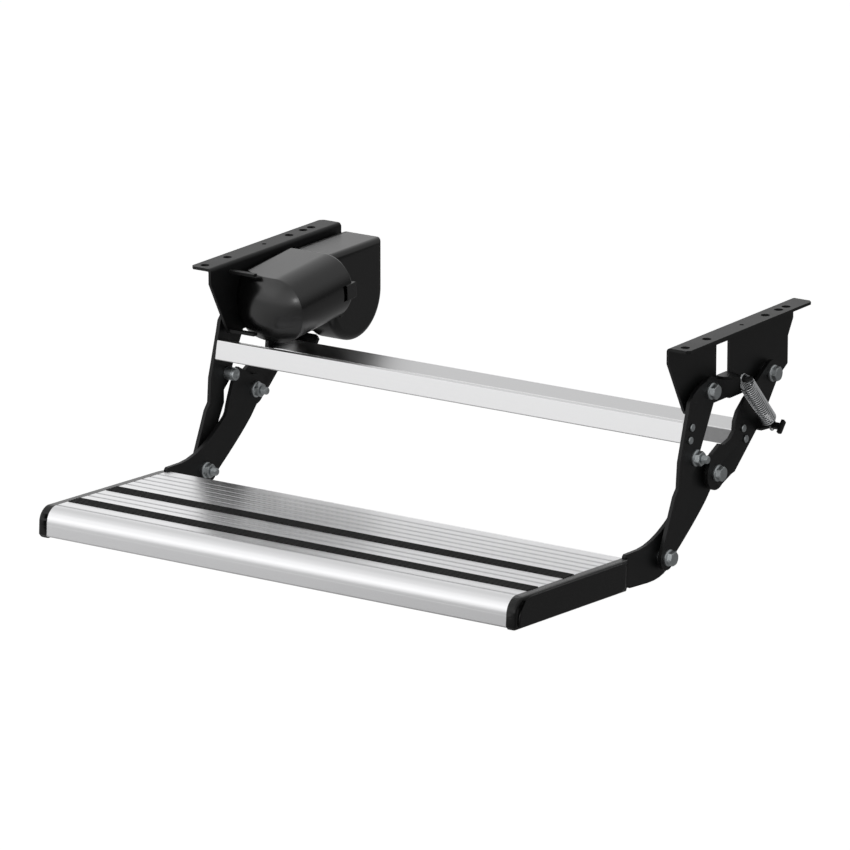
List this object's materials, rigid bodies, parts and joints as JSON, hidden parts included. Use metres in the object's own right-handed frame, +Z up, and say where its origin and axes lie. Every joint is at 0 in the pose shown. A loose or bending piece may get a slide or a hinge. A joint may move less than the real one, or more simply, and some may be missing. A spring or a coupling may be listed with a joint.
{
  "type": "caravan pull-out step",
  "caption": "Electric caravan step: a ribbed aluminium tread on folding arms under two bolt-on brackets, with a worm gear motor and a return spring.",
  "frame": {"origin": "centre of the four outer bolt holes, on top of the two bracket flanges", "axes": "+X to the right along the tread, +Y to the rear under the vehicle, +Z up along the bolts"},
  "size_m": [0.598, 0.5064, 0.2248],
  "materials": {
    "powder_coat": "black powder coat, satin, fine orange peel",
    "board_aluminium": "fine satin anodised, drawn along the length",
    "bar_aluminium": "mill finish drawn aluminium, half gloss",
    "zinc_steel": "zinc nickel plated, dark grey, half gloss",
    "spring_wire": "zinc plated spring wire, glossy",
    "motor_cover_plastic": "moulded black plastic, satin",
    "gear_cover_plastic": "moulded black plastic, satin",
    "cap_plastic": "moulded black plastic, fine grain",
    "grip_rubber": "black anti-slip rubber, ribbed, matt",
    "bush_plastic": "moulded bearing plastic",
    "bronze": "machined bronze",
    "cast_aluminium": "die cast, bead blasted",
    "turned_steel": "turned and ground",
    "motor_steel": "drawn steel, dull zinc",
    "ferrite": "sintered ferrite, dull",
    "winding": "enamelled copper on stacked iron",
    "copper": "turned copper",
    "carbon": "carbon brush block",
    "cable_rubber": "black rubber"
  },
  "bodies": {
    "root": {"left_bracket": "powder_coat", "right_bracket": "powder_coat", "frame_pivot_bolts": "zinc_steel", "frame_pivot_nuts": "zinc_steel", "frame_spacers": "zinc_steel", "motor_cover": "motor_cover_plastic", "gear_cover": "gear_cover_plastic", "gear_cover_screw": "zinc_steel", "gear_housing": "cast_aluminium", "gear_housing_lid": "cast_aluminium", "housing_screws": "zinc_steel", "output_bearings": "bronze", "worm_bearings": "bronze", "motor_can": "motor_steel", "motor_magnets": "ferrite", "motor_end_cap": "cap_plastic", "motor_brushes": "carbon", "cable_grommet": "cable_rubber"},
    "armature": {"armature_shaft": "turned_steel", "armature_core": "winding", "commutator": "copper"},
    "front_arms": {"left_front_arm": "powder_coat", "right_front_arm": "powder_coat", "front_cross_bar": "bar_aluminium", "front_bar_screws": "zinc_steel", "front_arm_bushes": "bush_plastic", "stop_sleeves": "zinc_steel", "stop_bolts": "zinc_steel", "stop_nuts": "zinc_steel", "front_link_bolts": "zinc_steel"},
    "rear_arms": {"left_rear_arm": "powder_coat", "right_rear_arm": "powder_coat", "rear_cross_bar": "bar_aluminium", "rear_bar_screws": "zinc_steel", "rear_arm_bushes": "bush_plastic", "output_shaft": "turned_steel", "worm_wheel": "bronze", "drive_bolt": "zinc_steel"},
    "tread": {"tread_board": "board_aluminium", "front_grip_strip": "grip_rubber", "rear_grip_strip": "grip_rubber", "left_side_plate": "powder_coat", "right_side_plate": "powder_coat", "left_end_cap": "cap_plastic", "right_end_cap": "cap_plastic", "side_plate_screws": "zinc_steel", "tread_pivot_bolts": "zinc_steel", "tread_pivot_nuts": "zinc_steel", "tread_spacers": "zinc_steel", "front_link_studs": "zinc_steel", "front_link_nuts": "zinc_steel"},
    "return_spring": {"return_spring": "spring_wire"},
    "spring_hook": {"spring_lower_hook": "spring_wire"}
  },
  "joints": [
    {"name": "rear_arm_fold", "type": "hinge", "parent": "root", "child": "rear_arms", "pos_m": [0, 0.074, -0.0633], "axis": [1, 0, 0], "range_deg": [0, 138.4]},
    {"name": "front_arm_fold", "type": "hinge", "parent": "root", "child": "front_arms", "pos_m": [0, -0.0393, -0.0555], "axis": [1, 0, 0], "range_deg": [0, 90.1]},
    {"name": "tread_fold", "type": "hinge", "parent": "rear_arms", "child": "tread", "pos_m": [0, -0.02697, -0.1405], "axis": [1, 0, 0], "range_deg": [-142, 0]},
    {"name": "armature_spin", "type": "hinge", "parent": "root", "child": "armature", "pos_m": [-0.232, 0.07116, -0.03082], "axis": [0, 0.9962, 0.0872], "range_deg": [0, 5540]},
    {"name": "spring_swing", "type": "hinge", "parent": "root", "child": "return_spring", "pos_m": [0.293, -0.004, -0.049], "axis": [1, 0, 0], "range_deg": [0, 49.3]},
    {"name": "spring_stretch", "type": "slide", "parent": "return_spring", "child": "spring_hook", "axis": [0, 0.679, -0.7341], "range_m": [0, 0.0445], "deforming": ["return_spring", "spring_lower_hook"]}
  ],
  "couplings": [
    {"joint": "front_arm_fold", "follows": "rear_arm_fold", "ratio": 0.65029},
    {"joint": "tread_fold", "follows": "rear_arm_fold", "ratio": -1.0247},
    {"joint": "armature_spin", "follows": "rear_arm_fold", "ratio": 40},
    {"joint": "spring_swing", "follows": "rear_arm_fold", "ratio": 0.35513},
    {"joint": "spring_stretch", "follows": "rear_arm_fold", "m_per_rad": 0.018323}
  ]
}
